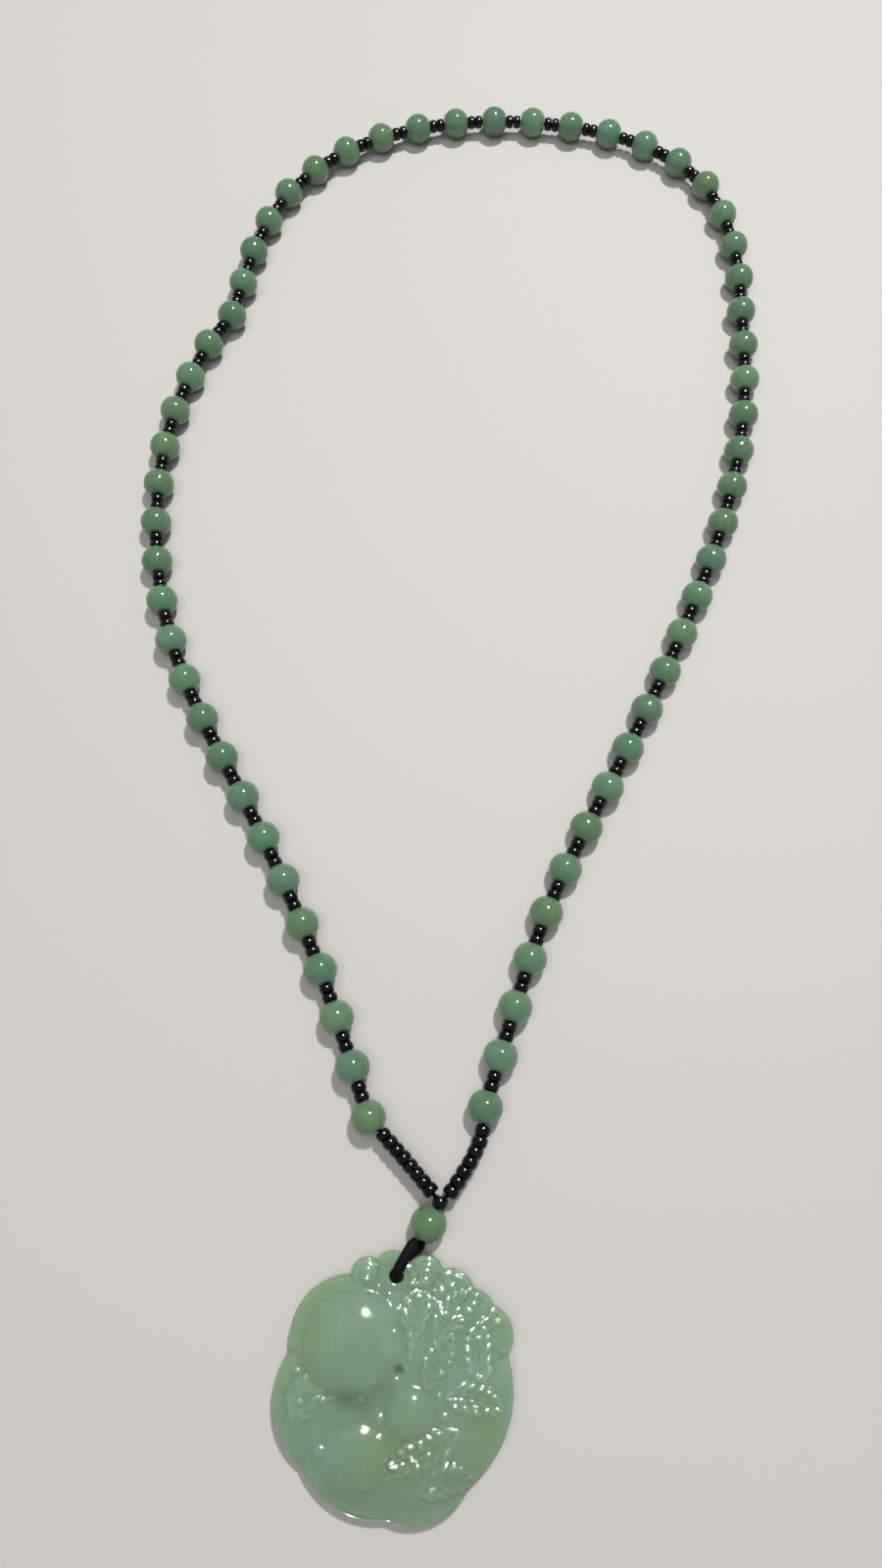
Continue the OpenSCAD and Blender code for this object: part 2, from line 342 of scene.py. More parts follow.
def polished_jade(name, tones, cloud_size, translucence):
    """Polished jade: waxy and translucent, clouded by its felted grain, under a mirror-smooth skin.
    tones are its main green, its cool pale clouds and its warm green stains. The shade that a
    piece's points carry makes its stone lighter or darker: on the beads it is each bead's own tone,
    on the carved disc it is painted shade in its cuts and towards its near edge."""
    green, cool, warm = [with_alpha(tone) for tone in tones]
    material, tree = new_material(name)
    place = add_node(tree, "TexCoord").outputs["Object"]

    def blend(factor, a, b):
        inputs = {MIX_A: a} if isinstance(a, tuple) else {}
        links = {MIX_FACTOR: factor} if inputs else {MIX_FACTOR: factor, MIX_A: a}
        node = add_node(tree, "Mix", {**inputs, MIX_B: b}, links, data_type="RGBA")
        return node.outputs[MIX_RESULT]

    clouds = add_node(
        tree,
        "TexNoise",
        {"Scale": 1 / cloud_size, "Detail": 2, "Roughness": 0.5, "Distortion": 0.4},
        {"Vector": place},
    )
    cool_amount = add_node(
        tree,
        "MapRange",
        {"From Min": 0.45, "From Max": 0.75, "To Max": 0.8},
        {"Value": clouds.outputs["Fac"]},
    )
    stain_place = add_node(tree, "Mapping", {"Location": (0.031, 0.017, 0.005)}, {"Vector": place})
    stains = add_node(
        tree,
        "TexNoise",
        {"Scale": 0.6 / cloud_size, "Detail": 2, "Roughness": 0.5},
        {"Vector": stain_place.outputs["Vector"]},
    )
    warm_amount = add_node(
        tree,
        "MapRange",
        {"From Min": 0.42, "From Max": 0.66},
        {"Value": stains.outputs["Fac"]},
    )
    clouded = blend(cool_amount.outputs["Result"], green, cool)
    stained = blend(warm_amount.outputs["Result"], clouded, warm)
    flecks = add_node(
        tree,
        "TexNoise",
        {"Scale": 1 / (0.9 * MM), "Detail": 4, "Roughness": 0.6, "Distortion": 0.4},
        {"Vector": place},
    )
    fleck_value = add_node(
        tree,
        "MapRange",
        {"From Min": 0.3, "From Max": 0.7, "To Min": 0.95, "To Max": 1.05},
        {"Value": flecks.outputs["Fac"]},
    )
    shade = add_node(tree, "Attribute", attribute_name="shade")
    value = add_node(
        tree,
        "Math",
        links={0: fleck_value.outputs["Result"], 1: shade.outputs["Fac"]},
        operation="MULTIPLY",
    )
    shaded = add_node(
        tree, "HueSaturation", links={"Color": stained, "Value": value.outputs["Value"]}
    )
    polish = add_node(tree, "TexNoise", {"Scale": 1 / (2.5 * MM), "Detail": 2}, {"Vector": place})
    roughness = add_node(
        tree, "MapRange", {"To Min": 0.04, "To Max": 0.11}, {"Value": polish.outputs["Fac"]}
    )
    unevenness = add_node(
        tree, "Bump", {"Strength": 0.12, "Distance": 0.1 * MM}, {"Height": polish.outputs["Fac"]}
    )
    surface = add_node(
        tree,
        "BsdfPrincipled",
        {
            "IOR": 1.62,
            "Subsurface Weight": translucence,
            "Subsurface Scale": 6 * MM,
            "Subsurface Radius": (0.9, 1, 0.8),
        },
        {
            "Base Color": shaded.outputs["Color"],
            "Roughness": roughness.outputs["Result"],
            "Normal": unevenness.outputs["Normal"],
        },
    )
    add_node(tree, "OutputMaterial", links={"Surface": surface.outputs["BSDF"]})
    return material


def fire_polished_glass(black):
    """Pressed black glass, fire-polished: it mirrors a lamp in one small point on each bead."""
    material, tree = new_material("fire_polished_black_glass")
    place = add_node(tree, "TexCoord").outputs["Object"]
    waves = add_node(tree, "TexNoise", {"Scale": 1 / (1.1 * MM), "Detail": 1}, {"Vector": place})
    roughness = add_node(
        tree, "MapRange", {"To Min": 0.13, "To Max": 0.17}, {"Value": waves.outputs["Fac"]}
    )
    pressing = add_node(
        tree, "Bump", {"Strength": 0.05, "Distance": 0.1 * MM}, {"Height": waves.outputs["Fac"]}
    )
    surface = add_node(
        tree,
        "BsdfPrincipled",
        {"Base Color": with_alpha(black), "IOR": 1.52, "Specular IOR Level": 0.3},
        {"Roughness": roughness.outputs["Result"], "Normal": pressing.outputs["Normal"]},
    )
    add_node(tree, "OutputMaterial", links={"Surface": surface.outputs["BSDF"]})
    return material


def wound_polyester(name, black):
    """Wound polyester thread: black, with a dull sheen on its fibres."""
    material, tree = new_material(name)
    place = add_node(tree, "TexCoord").outputs["Object"]
    fibres = add_node(
        tree, "TexNoise", {"Scale": 1 / (0.12 * MM), "Detail": 2}, {"Vector": place}
    )
    tone = add_node(
        tree,
        "Mix",
        {MIX_A: with_alpha(black), MIX_B: with_alpha([1.8 * c for c in black])},
        {MIX_FACTOR: fibres.outputs["Fac"]},
        data_type="RGBA",
    )
    fluff = add_node(
        tree, "Bump", {"Strength": 0.4, "Distance": 0.03 * MM}, {"Height": fibres.outputs["Fac"]}
    )
    surface = add_node(
        tree,
        "BsdfPrincipled",
        {
            "Roughness": 0.7,
            "Specular IOR Level": 0.06,
            "Sheen Weight": 0.02,
            "Sheen Roughness": 0.4,
        },
        {"Base Color": tone.outputs[MIX_RESULT], "Normal": fluff.outputs["Normal"]},
    )
    add_node(tree, "OutputMaterial", links={"Surface": surface.outputs["BSDF"]})
    return material


def matte_floor(pale):
    """Pale matte paint, rolled on: plain, with soft shadows and no highlight."""
    material, tree = new_material("pale_matte_paint")
    surface = add_node(
        tree, "BsdfPrincipled", {"Base Color": with_alpha(pale), "Roughness": 0.75}
    )
    add_node(tree, "OutputMaterial", links={"Surface": surface.outputs["BSDF"]})
    return material


# Routes


def curve_point(a, b, c, d, t):
    """Point of the smooth curve through b and c, at t from 0 to 1 between them."""
    return 0.5 * (
        2 * b
        + (c - a) * t
        + (2 * a - 5 * b + 4 * c - d) * t * t
        + (3 * b - a - 3 * c + d) * t * t * t
    )


def smooth_route(points, steps):
    """Smooth line through every point of a route, as many short straight pieces."""
    ends = [2 * points[0] - points[1], *points, 2 * points[-1] - points[-2]]
    line = [
        curve_point(*ends[i : i + 4], k / steps)
        for i in range(len(points) - 1)
        for k in range(steps)
    ]
    return line + [points[-1]]


def distances(line):
    """Distance along a line to each of its points."""
    found = [0]
    for a, b in zip(line, line[1:]):
        found.append(found[-1] + (b - a).length)
    return found


def point_along(line, distance, s):
    """Point of a line at a distance along it."""
    for i in range(1, len(line)):
        if distance[i] >= s:
            share = (s - distance[i - 1]) / (distance[i] - distance[i - 1])
            return line[i - 1].lerp(line[i], share)
    return line[-1].copy()


def turned_to(way, place):
    """Matrix that turns +Z to a way and moves the origin to a place."""
    return Matrix.Translation(place) @ way.to_track_quat("Z", "Y").to_matrix().to_4x4()


class Stringing:
    """Where every bead of the necklace lies, in metres, worked out from the beads' sizes."""

    def __init__(self, sizes):
        self.bead_length = sizes.bead_length
        # Room on the thread between two neighbouring beads
        self.gap = 0.25 * MM
        height = sizes.bead_diameter / 2
        plan = [Vector((x * MM, y * MM, height)) for x, y in LOOP_ROUTE]
        line = smooth_route(plan, ROUTE_STEPS)
        distance = distances(line)
        self.pitch = distance[-1] / (BEAD_COUNT - 1)
        self.seed_length = (self.pitch - self.bead_length) / 2 - self.gap
        self.beads = [point_along(line, distance, i * self.pitch) for i in range(BEAD_COUNT)]
        self.bail = Vector((BAIL_CENTRE[0] * MM, BAIL_CENTRE[1] * MM, height))
        self.bail_way = Vector((*BAIL_WAY, 0)).normalized()
        reach = self.bead_length / 2 + 2 * self.gap + self.seed_length / 2
        self.shared_seed = self.bail + reach * self.bail_way
        self.left_leg = [self.beads[0]] + [Vector((x * MM, y * MM, height)) for x, y in LEFT_LEG]
        self.right_leg = [self.beads[-1]] + [Vector((x * MM, y * MM, height)) for x, y in RIGHT_LEG]

    def bead_way(self, i):
        """The way of a jade bead's hole: the mean of the thread's ways before and after it."""
        before = self.left_leg[1] if i == 0 else self.beads[i - 1]
        after = self.right_leg[1] if i == BEAD_COUNT - 1 else self.beads[i + 1]
        here = self.beads[i]
        return (here - before).normalized() + (after - here).normalized()

    def pair_after(self, i):
        """Places and way of the two seed beads after a jade bead."""
        way = (self.beads[i + 1] - self.beads[i]).normalized()
        middle = (self.beads[i] + self.beads[i + 1]) / 2
        offset = (self.seed_length + self.gap / 2) / 2
        return [(middle - offset * way, way), (middle + offset * way, way)]

    def leg_seeds(self, route, count):
        """Places and ways of the seed beads of one leg of the V, which nearly touch, and their
        length against that of the other seed beads."""
        line = smooth_route(route, LEG_STEPS)
        distance = distances(line)
        first = self.bead_length / 2 + 2 * self.gap + self.seed_length / 2
        spacing = (distance[-1] - first) / (count - 1)
        places = [point_along(line, distance, first + k * spacing) for k in range(count)]
        seeds = [
            (here, places[min(k + 1, count - 1)] - places[max(k - 1, 0)])
            for k, here in enumerate(places)
        ]
        return seeds, 0.98 * spacing / self.seed_length


# Meshes


def finish_piece(name, bm, material, slot, *nodes):
    """Turns a bmesh into a piece of the object that rides on the body and stands for CAD nodes."""
    bmesh.ops.recalc_face_normals(bm, faces=bm.faces)
    mesh = bpy.data.meshes.new(name)
    bm.to_mesh(mesh)
    bm.free()
    mesh.shade_smooth()
    mesh.materials.append(material)
    piece = bpy.data.objects.new(name, mesh)
    bpy.context.scene.collection.objects.link(piece)
    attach(piece, BODY)
    if nodes:
        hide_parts(*nodes)


def spun_shape(profile, steps):
    """Closed shape made by spinning a closed profile of (radius, height) points about Z."""
    bm = bmesh.new()
    corners = [bm.verts.new((radius, 0, height)) for radius, height in profile]
    edges = [bm.edges.new((a, b)) for a, b in zip(corners, corners[1:] + corners[:1])]
    bmesh.ops.spin(
        bm,
        geom=corners + edges,
        cent=(0, 0, 0),
        axis=(0, 0, 1),
        dvec=(0, 0, 0),
        angle=FULL_TURN,
        steps=steps,
        use_merge=True,
        use_duplicate=False,
    )
    bmesh.ops.recalc_face_normals(bm, faces=bm.faces)
    mesh = bpy.data.meshes.new("shape")
    bm.to_mesh(mesh)
    bm.free()
    return mesh


def add_copy(bm, shape, matrix, layer=None, value=1):
    """Adds a copy of a shape to a bmesh, moved by a matrix, and writes a value on its points."""
    count = len(bm.verts)
    bm.from_mesh(shape)
    bm.verts.ensure_lookup_table()
    added = bm.verts[count:]
    bmesh.ops.transform(bm, matrix=matrix, verts=added)
    if layer:
        for corner in added:
            corner[layer] = value


def jade_bead_shape(sizes):
    """Ball with a flat at each end of its thread and a drilled hole with a softened mouth."""
    radius = sizes.bead_diameter / 2
    half = sizes.bead_length / 2
    hole = sizes.thread_diameter / 2 + 0.25 * MM
    softening = 0.2 * MM
    arc_steps = 18
    edge = math.asin(half / radius) - softening / radius
    arc = [-edge + 2 * edge * i / arc_steps for i in range(arc_steps + 1)]
    ball = [(radius * math.cos(a), radius * math.sin(a)) for a in arc]
    flat = radius * math.cos(edge) - softening
    top = [(flat, half), (hole + softening, half), (hole, half - softening)]
    bottom = [(r, -h) for r, h in reversed(top)]
    return spun_shape(ball + top + bottom, BEAD_SIDES)


def seed_bead_shape(sizes, length):
    """Short drum with round shoulders and a hole; few faces, because it is repeated often."""
    radius = sizes.seed_diameter / 2
    half = length / 2
    hole = sizes.thread_diameter / 2 + 0.1 * MM
    flat, shoulder, waist = 0.79 * radius, 0.97 * radius, 1.01 * radius
    shoulder_height = 0.63 * half
    profile = [
        (flat, half),
        (shoulder, shoulder_height),
        (waist, 0),
        (shoulder, -shoulder_height),
        (flat, -half),
        (hole, 0),
    ]
    return spun_shape(profile, SEED_SIDES)


def swept_tube(bm, line, sides, point_at):
    """Tube along a line, closed at both ends. point_at(i, angle) places each point of ring i."""
    angles = [FULL_TURN * k / sides for k in range(sides)]
    ring = bmesh.ops.create_circle(bm, segments=sides, radius=1)["verts"]
    edges = list({e for v in ring for e in v.link_edges})
    for corner, angle in zip(ring, angles):
        corner.co = point_at(0, angle)
    bmesh.ops.contextual_create(bm, geom=edges)
    for i in range(1, len(line)):
        grown = bmesh.ops.extrude_edge_only(bm, edges=edges)["geom"]
        edges = [g for g in grown if isinstance(g, bmesh.types.BMEdge)]
        new_corners = [g for g in grown if isinstance(g, bmesh.types.BMVert)]
        for corner, angle in zip(new_corners, angles):
            corner.co = point_at(i, angle)
    bmesh.ops.contextual_create(bm, geom=edges)


class JADE_OT_stage(bpy.types.Operator):
    """Adds the camera, the pale floor and the studio light"""

    bl_idname = "jade.stage"
    bl_label = "Stage"

    def execute(self, context):
        scene = context.scene
        camera = bpy.data.objects.new("camera", bpy.data.cameras.new("camera"))
        camera.data.sensor_width = CAMERA_SENSOR
        camera.data.lens = CAMERA_LENS
        camera.matrix_world = (
            Matrix.Translation([c * MM for c in CAMERA_PLACE])
            @ Matrix.Rotation(math.radians(CAMERA_TILT), 4, "X")
            @ Matrix.Rotation(math.radians(CAMERA_ROLL), 4, "Z")
        )
        camera.data.clip_start = 0.01
        scene.collection.objects.link(camera)
        scene.camera = camera

        bm = bmesh.new()
        bmesh.ops.create_grid(bm, x_segments=2, y_segments=2, size=FLOOR_HALF_WIDTH)
        bmesh.ops.translate(bm, verts=bm.verts, vec=(0, 0, -FLOOR_DROP * MM))
        mesh = bpy.data.meshes.new("floor")
        bm.to_mesh(mesh)
        bm.free()
        mesh.materials.append(matte_floor(scene.jade_colours.floor_pale))
        floor = bpy.data.objects.new("floor", mesh)
        scene.collection.objects.link(floor)

        self.add_lamp(scene, "key_lamp", *KEY_LAMP)
        # Bright core of the key lamp: it shows only as small highlights on polish
        glint = self.add_lamp(scene, "glint_lamp", *GLINT_LAMP)
        glint.visible_diffuse = False
        # Wide and dim: it opens the shadows and leaves no highlight
        fill = self.add_lamp(scene, "fill_lamp", *FILL_LAMP)
        fill.visible_glossy = False

        world = bpy.data.worlds.new("studio")
        world.use_nodes = True
        background = world.node_tree.nodes["Background"]
        background.inputs["Color"].default_value = ROOM_COLOUR
        background.inputs["Strength"].default_value = ROOM_STRENGTH
        scene.world = world
        scene.view_settings.view_transform = "Standard"
        return {"FINISHED"}

    def add_lamp(self, scene, name, place, size, power):
        """Adds a round soft lamp that points at the middle of the piece."""
        lamp = bpy.data.objects.new(name, bpy.data.lights.new(name, "AREA"))
        lamp.data.shape = "DISK"
        lamp.data.size = size
        lamp.data.energy = power
        target = (CAD_BOX[0] + CAD_BOX[1]) / 2
        lamp.location = place
        lamp.rotation_euler = (target - Vector(place)).to_track_quat("-Z", "Y").to_euler()
        scene.collection.objects.link(lamp)
        return lamp


class JADE_OT_carved_disc(bpy.types.Operator):
    """Adds the carved jade disc: its relief, rounded rim, cord hole and polished back"""

    bl_idname = "jade.carved_disc"
    bl_label = "Carved disc"

    # Squares along each side of a face's grid
    front_squares = 244
    back_squares = 150

    def execute(self, context):
        sizes = context.scene.jade_sizes
        colours = context.scene.jade_colours
        carving = Carving(sizes)
        bm = bmesh.new()
        shade = bm.verts.layers.float.new("shade")
        edge, hole = self.add_face(bm, carving, shade, self.front_squares, carving.front_point)
        edge = self.add_rings(bm, shade, edge, carving.rim_steps, carving.rim_point)
        hole = self.add_rings(bm, shade, hole, carving.mouth_steps, carving.mouth_point)
        back_edge, back_hole = self.add_face(
            bm, carving, shade, self.back_squares, carving.back_point
        )
        bmesh.ops.bridge_loops(bm, edges=edge + back_edge)
        bmesh.ops.bridge_loops(bm, edges=hole + back_hole)
        tones = (colours.pendant_green, colours.pendant_cool, colours.pendant_warm)
        jade = polished_jade("polished_carved_jade", tones, cloud_size=9 * MM, translucence=1)
        finish_piece("carved_disc", bm, jade, "carved_jade", "pendant")
        return {"FINISHED"}

    def add_face(self, bm, carving, shade, segments, point_at):
        """Adds one face of the disc, a grid bent to its outline with the cord's hole cut out, and
        returns the edges round its outside and round the hole."""
        grid = bmesh.ops.create_grid(bm, x_segments=segments, y_segments=segments, size=1)
        corners = grid["verts"]
        for corner in corners:
            corner.co, corner[shade] = point_at(*carving.on_disc(corner.co.x, corner.co.y))
        hole = Vector(HOLE_PLACE) * MM
        radius = carving.mouth_radius * MM
        inside = [v for v in corners if (v.co.xy - hole).length < radius]
        bmesh.ops.delete(bm, geom=inside, context="VERTS")
        corners = [v for v in corners if v.is_valid]
        border = {e for v in corners for e in v.link_edges if e.is_boundary}
        near = radius + 1 * MM
        at_hole = {e for e in border if all((v.co.xy - hole).length < near for v in e.verts)}
        for corner in {v for e in at_hole for v in e.verts}:
            on_circle = hole + (corner.co.xy - hole).normalized() * radius
            corner.co, corner[shade] = point_at(*on_circle)
        return list(border - at_hole), list(at_hole)

    def add_rings(self, bm, shade, edges, steps, point_at):
        """Grows a border ring by ring, each point placed from its place on the ring before, and
        returns the last ring's edges."""
        for step in range(1, steps + 1):
            grown = bmesh.ops.extrude_edge_only(bm, edges=edges)["geom"]
            edges = [g for g in grown if isinstance(g, bmesh.types.BMEdge)]
            for corner in {v for e in edges for v in e.verts}:
                corner.co, corner[shade] = point_at(*corner.co.xy, step)
        return edges


def smooth_step(low, high, value):
    """0 below low, 1 above high and a smooth rise between them."""
    t = min(1, max(0, (value - low) / (high - low)))
    return t * t * (3 - 2 * t)


def melted(a, b, reach):
    """The higher of two heights, with a soft hollow where they differ by less than a reach."""
    near = max(0, reach - abs(a - b)) / reach
    return max(a, b) + near * near * reach / 4


def notch(offset, width):
    """Round-edged notch across a line: 1 on the line, nearly 0 at a width from it."""
    return math.exp(-3 * (offset / width) ** 2)


def beside_line(x, y, points):
    """Distance of a place from a line of straight pieces, and how far along the line it is."""
    nearest, along, passed = math.inf, 0, 0
    for (ax, ay), (bx, by) in zip(points, points[1:]):
        dx, dy = bx - ax, by - ay
        length = math.hypot(dx, dy)
        share = min(1, max(0, ((x - ax) * dx + (y - ay) * dy) / length**2))
        away = math.hypot(x - ax - share * dx, y - ay - share * dy)
        if away < nearest:
            nearest, along = away, passed + share * length
        passed += length
    return nearest, along


class Carving:
    """The carved disc as functions of a place in its plan, with its lengths in millimetres."""

    rim_round = 1.2
    rim_steps = 8
    mouth_round = 0.35
    mouth_steps = 3

    # Painted shade: how light the stone is painted at the far edge, and how much darker it is
    # painted towards the near edge and in the creases, veins, hollows and pocket, where shade falls
    painted_far_light = 1.04
    painted_near_shade = 0.14
    painted_crease_shade = 0.08
    painted_vein_shade = 0.02
    painted_hollow_shade = 0.13
    painted_pocket_shade = 0.3

    crease_depth = 0.12
    spiral_depth = 0.14
    flute_depth = 0.13
    flute_length = 4
    flute_band = 4.5
    # Height of a bud against its radius
    bud_rise = 0.29

    # Leaves: distance between side veins, their slant, and the heights of what rises on a leaf
    vein_step = 2.1
    vein_slant = 0.75
    leaf_base = 0.1
    leaf_swell = 0.12
    vein_height = 0.3
    midrib_width = 0.45
    midrib_depth = 0.05

    # Marks of the carving tool on the leafy side, and the slow unevenness that polishing leaves
    mark_height = 0.04
    mark_size = 0.7
    wave_height = 0.03
    wave_size = 3.5

    def __init__(self, sizes):
        self.plate = sizes.plate_height / MM
        self.top = sizes.fruit_top / MM
        self.hole_radius = sizes.hole_diameter / 2 / MM
        self.mouth_radius = self.hole_radius + self.mouth_round

    def outline(self, angle):
        """Distance from the middle to the outline in one direction."""
        way_x, way_y = math.cos(angle), math.sin(angle)
        reach = 0
        for x, y, radius, _ in LOBES:
            along = way_x * x + way_y * y
            under_root = radius * radius - x * x - y * y + along * along
            if under_root > 0:
                reach = max(reach, along + math.sqrt(under_root))
        return reach

    def on_disc(self, u, v):
        """Place on the disc, in metres, of a point of the square grid from -1 to 1."""
        ring = max(abs(u), abs(v))
        if ring == 0:
            return 0, 0
        if abs(u) >= abs(v):
            angle = math.pi / 4 * v / u + (math.pi if u < 0 else 0)
        else:
            angle = math.pi / 2 - math.pi / 4 * u / v + (math.pi if v < 0 else 0)
        reach = (self.outline(angle) - self.rim_round) * ring * MM
        return reach * math.cos(angle), reach * math.sin(angle)

    def front_point(self, x, y):
        """Point of the relief and its shade, at a place in metres."""
        height, shade = self.relief(x / MM, y / MM)
        return Vector((x, y, height * MM)), shade

    def back_point(self, x, y):
        """Point of the flat back, at a place in metres, lifted where the cord's groove runs."""
        return Vector((x, y, self.groove(x / MM, y / MM) * MM)), 1

    def groove(self, x, y):
        """Height of the back above the table, in the groove from the hole to the rim."""
        away = Vector((x, y)) - Vector(HOLE_PLACE)
        way = Vector((math.cos(GROOVE_WAY), math.sin(GROOVE_WAY)))
        across = abs(away.cross(way)) if away.dot(way) > 0 else away.length
        return GROOVE_HEIGHT * math.sqrt(max(0, 1 - (2 * across / GROOVE_WIDTH) ** 2))

    def rim_point(self, x, y, step):
        """Point of one ring of the rounded rim, from a point of the ring before it."""
        angle = math.atan2(y, x)
        inner = self.outline(angle) - self.rim_round
        start = Vector((inner * math.cos(angle), inner * math.sin(angle)))
        top, shade = self.relief(*start)
        foot = self.groove(*start)
        turn = step / self.rim_steps * math.pi
        reach = inner + self.rim_round * math.sin(turn) ** 0.7
        height = foot + (top - foot) * (1 + math.cos(turn)) / 2
        return Vector((reach * math.cos(angle), reach * math.sin(angle), height)) * MM, shade

    def mouth_point(self, x, y, step):
        """Point of one ring of the hole's softened mouth, from a point of the ring before it."""
        hole = Vector(HOLE_PLACE)
        spoke = (Vector((x, y)) / MM - hole).normalized()
        start = hole + self.mouth_radius * spoke
        turn = step / self.mouth_steps * math.pi / 2
        place = hole + (self.hole_radius + self.mouth_round * (1 - math.sin(turn))) * spoke
        height = self.relief(*start)[0] - self.mouth_round * (1 - math.cos(turn))
        return Vector((*place, height)) * MM, 1

    def relief(self, x, y):
        """Height of the carving above the table, and the painted shade there: darker in creases,
        veins, hollows and the pocket, and towards the near edge.
        """
        ground, crease = self.lobed_ground(x, y)
        height = ground
        # Painted shade: darker in the creases between lobes, and towards the near edge where less
        # light falls
        shade = self.painted_far_light - self.painted_crease_shade * crease
        shade -= self.painted_near_shade * smooth_step(12, -26, y)
        for points, width, rise in STEMS:
            away, along = beside_line(x, y, points)
            if away < width:
                knot = 0.5 + 0.5 * math.cos(FULL_TURN * along / KNOT_STEP)
                top = rise * (0.6 + 0.6 * knot)
                height = max(height, ground + top - 4 * rise * (away / width) ** 2)
        for leaf in LEAVES:
            above, vein = self.leaf(x, y, *leaf)
            if above and ground + above > height:
                height = ground + above
                # Painted shade in the leaf's veins
                shade -= self.painted_vein_shade * vein
        for curl_x, curl_y, radius, rise in CURLS:
            away = math.hypot(x - curl_x, y - curl_y)
            if away < radius:
                height += rise * (1 - (away / radius) ** 2)
                height -= self.spiral_depth * self.spiral(x - curl_x, y - curl_y)
        tooled = self.mark_height * smooth_step(-2, 5, x + 0.4 * y)
        height += tooled * noise.noise((x / self.mark_size, y / self.mark_size, 3))
        # The fruits end in a soft hollow, which is tighter beside the cord's hole
        reach = 0.3 - 0.18 * smooth_step(14, 17, y)
        for fruit in FRUITS:
            height = melted(height, self.fruit(x, y, *fruit), reach)
        for points, width, depth in HOLLOWS:
            hollow = notch(beside_line(x, y, points)[0], width)
            height -= depth * hollow
            # Painted shade in the hollows between the fruits
            shade -= self.painted_hollow_shade * hollow
        for bud_x, bud_y, radius in BUDS:
            away = math.hypot(x - bud_x, y - bud_y) / radius
            if away < 1:
                height += self.bud_rise * radius * (1 - away * away)
        pocket_x, pocket_y, radius, depth = POCKET
        pocket = notch(math.hypot(x - pocket_x, y - pocket_y), radius * 1.4)
        height -= depth * pocket
        # Painted shade in the drilled pocket
        shade -= self.painted_pocket_shade * pocket
        height -= self.flute_depth * self.flutes(x, y)
        height += self.wave_height * noise.noise((x / self.wave_size, y / self.wave_size, 0))
        return height, shade

    def flutes(self, x, y):
        """How deep in the short flutes of a fluted lobe a place is."""
        depth, flute = -1, 0
        for lobe_x, lobe_y, radius, _ in FLUTED_LOBES:
            dx, dy = x - lobe_x, y - lobe_y
            inside = radius - math.hypot(dx, dy)
            if inside > depth:
                depth = inside
                flute = math.sin(5 * math.atan2(dy, dx)) ** 2
        if not 0 < depth < self.flute_length:
            return 0
        if math.hypot(x, y) < self.outline(math.atan2(y, x)) - self.flute_band:
            return 0
        fade = 1 - smooth_step(1.5, self.flute_length, depth)
        return flute * smooth_step(0, 1.5, depth) * fade

    def lobed_ground(self, x, y):
        """Height of the lobed plate, and how deep a crease between two lobes is there."""
        height = 0
        depths = []
        for lobe_x, lobe_y, radius, extra in LOBES:
            depth = (radius * radius - (x - lobe_x) ** 2 - (y - lobe_y) ** 2) / (2 * radius)
            depths.append(depth)
            rise = extra * smooth_step(-0.5, 6, depth) + 0.15 * smooth_step(0, 5, depth)
            height = max(height, self.plate + rise)
        deepest, next_one = sorted(depths)[:-3:-1]
        crease = notch(deepest - next_one, 0.9) * (1 - smooth_step(1, 3.5, deepest))
        # No cut beside the first lobe, where the largest fruit meets its neighbours softly
        cut = 0 if depths[0] in (deepest, next_one) else self.crease_depth
        return height - cut * crease, crease

    def leaf(self, x, y, leaf_x, leaf_y, length, width, degrees):
        """Height of a leaf above the ground, and how deep in one of its veins a place is."""
        turn = math.radians(degrees)
        dx, dy = x - leaf_x, y - leaf_y
        along = 2 * (dx * math.cos(turn) + dy * math.sin(turn)) / length
        across = dy * math.cos(turn) - dx * math.sin(turn)
        if abs(along) >= 1:
            return 0, 0
        # The leaf bends a little, and its edge swells between the ends of its side veins
        across += 0.12 * width * (along * along - 0.3)
        vein_phase = (along * length / 2 - self.vein_slant * abs(across)) / self.vein_step
        cell = 1 - (2 * (vein_phase % 1) - 1) ** 2
        half = width / 2 * (1 - along * along) ** 0.8 * (1 + 0.2 * (cell - 0.5))
        side = abs(across) / half if half > 0.05 else 1
        if side >= 1:
            return 0, 0
        edge = smooth_step(0, 0.5, half - abs(across))
        swell = 1 - (2 * side - 1) ** 2
        midrib = notch(across, self.midrib_width)
        # Rounded cells between the side veins, each a little higher or lower than the next
        pebble = cell * (0.6 + 0.4 * math.cos(FULL_TURN * abs(across) / self.vein_step))
        pebble *= 1 + 0.35 * math.sin(5.3 * (vein_phase // 1) + leaf_x + 2 * (across > 0))
        above = self.leaf_base + self.leaf_swell * swell + self.vein_height * pebble * swell**0.5
        above -= self.midrib_depth * midrib
        return above * edge, max(midrib, 1 - cell) * edge

    def fruit(self, x, y, fruit_x, fruit_y, radius, lower):
        """Height of a fruit's dome, which goes on below the ground."""
        away = math.hypot(x - fruit_x, y - fruit_y)
        foot = self.plate + 0.1
        return foot + (self.top - lower - foot) * (1 - (away / radius) ** 2.4)

    def spiral(self, dx, dy):
        """How deep in the spiral groove of a curl a place is."""
        away = math.hypot(dx, dy)
        arm = away / 1.2 - math.atan2(dy, dx) / FULL_TURN
        return notch((arm + 0.5) % 1 - 0.5, 0.35) * smooth_step(0.1, 0.6, away)


